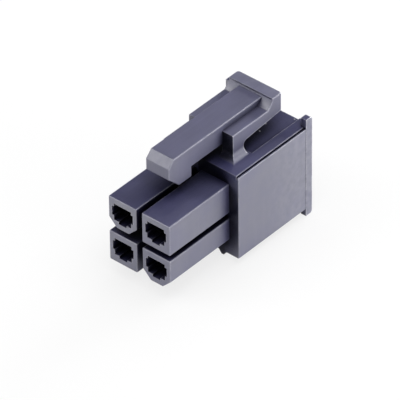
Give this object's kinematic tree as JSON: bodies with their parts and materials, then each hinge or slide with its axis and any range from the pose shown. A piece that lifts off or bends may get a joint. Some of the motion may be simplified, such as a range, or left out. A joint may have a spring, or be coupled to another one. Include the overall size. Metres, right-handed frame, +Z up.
{
  "type": "wire to board connector housing",
  "caption": "Free-hanging power connector housing: square silos at the mating end, a closed body with rear wire cavities, and a rocking latch arm with hook and thumb pad.",
  "frame": {"origin": "bottom centre of the whole moulding, level with the undersides of the lower ears of the wire-end flange", "axes": "+Y runs from the mating end to the wire end, +X is across the two columns, +Z is up towards the latch"},
  "size_m": [0.0102, 0.0196, 0.0145],
  "materials": {
    "nylon": "fine satin moulded surface"
  },
  "bodies": {
    "root": {"housing": "nylon"}
  },
  "joints": []
}
